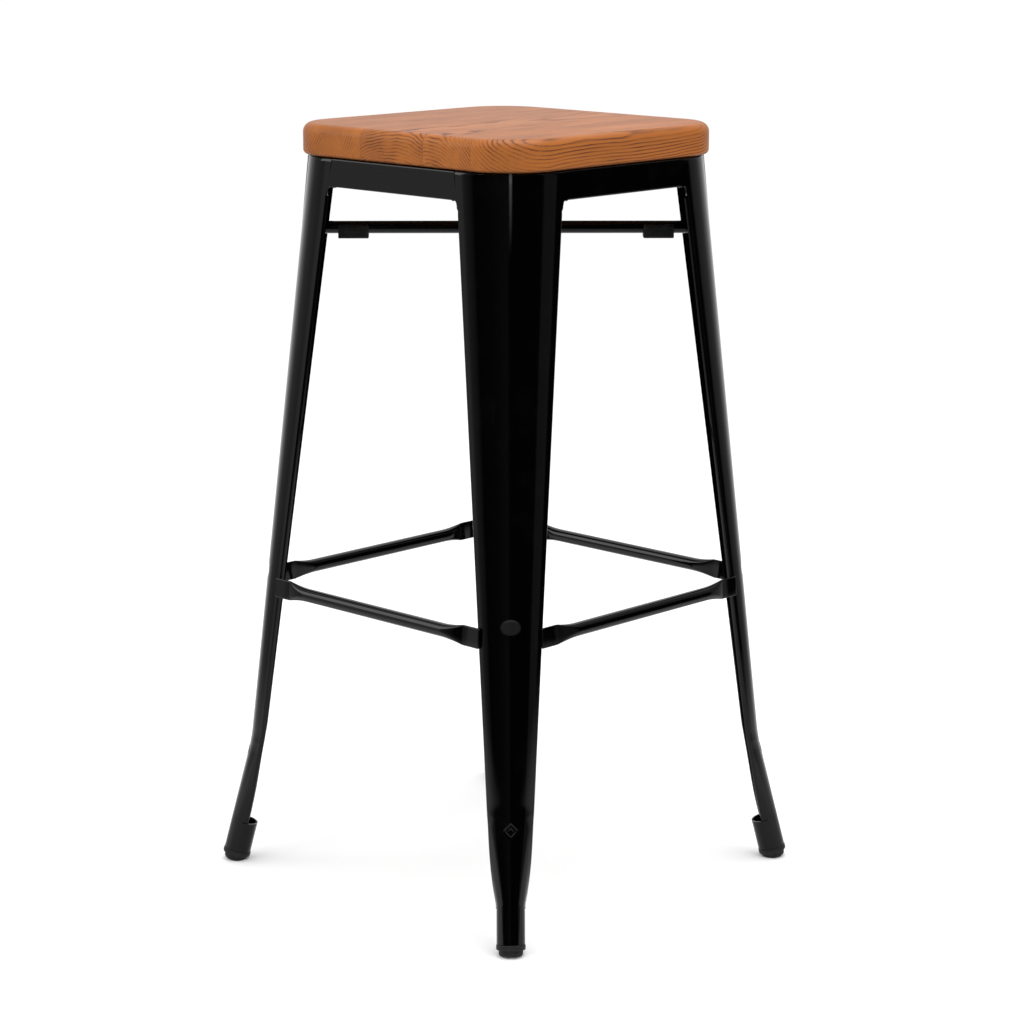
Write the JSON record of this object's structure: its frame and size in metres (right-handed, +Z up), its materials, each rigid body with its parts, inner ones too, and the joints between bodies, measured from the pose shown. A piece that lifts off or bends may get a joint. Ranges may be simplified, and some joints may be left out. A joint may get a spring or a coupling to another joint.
{
  "type": "bar stool with footrest",
  "caption": "Backless bar stool: a square solid wood seat on splayed pressed steel legs with a round tube footrest and rubber feet.",
  "frame": {"origin": "on the floor, under the middle of the seat", "axes": "+Z up; the sides of the seat lie along X and Y, and the legs stand on the diagonals; front is the side that faces -Y; the seat's grain runs along Y"},
  "size_m": [0.4212, 0.4212, 0.76],
  "materials": {
    "black_paint": "smooth gloss black paint over pressed sheet steel and tube",
    "black_rubber": "matte black moulded rubber",
    "oiled_wood": "warm brown open-grained hardwood, glued from staves, oiled satin",
    "screw_steel": "plain zinc plated steel"
  },
  "bodies": {
    "root": {"leg_front_left": "black_paint", "leg_front_right": "black_paint", "leg_back_left": "black_paint", "leg_back_right": "black_paint", "apron_front": "black_paint", "apron_right": "black_paint", "apron_back": "black_paint", "apron_left": "black_paint", "seat_board": "oiled_wood", "cross_brace_upper": "black_paint", "cross_brace_lower": "black_paint", "footrest_front": "black_paint", "footrest_right": "black_paint", "footrest_back": "black_paint", "footrest_left": "black_paint", "stacking_pad_front_left": "black_rubber", "stacking_pad_front_right": "black_rubber", "stacking_pad_back_left": "black_rubber", "stacking_pad_back_right": "black_rubber", "foot_plug_front_left": "black_rubber", "foot_plug_front_right": "black_rubber", "foot_plug_back_left": "black_rubber", "foot_plug_back_right": "black_rubber", "seat_screw_front_1": "screw_steel", "seat_screw_front_2": "screw_steel", "seat_screw_right_1": "screw_steel", "seat_screw_right_2": "screw_steel", "seat_screw_back_1": "screw_steel", "seat_screw_back_2": "screw_steel", "seat_screw_left_1": "screw_steel", "seat_screw_left_2": "screw_steel"}
  },
  "joints": []
}
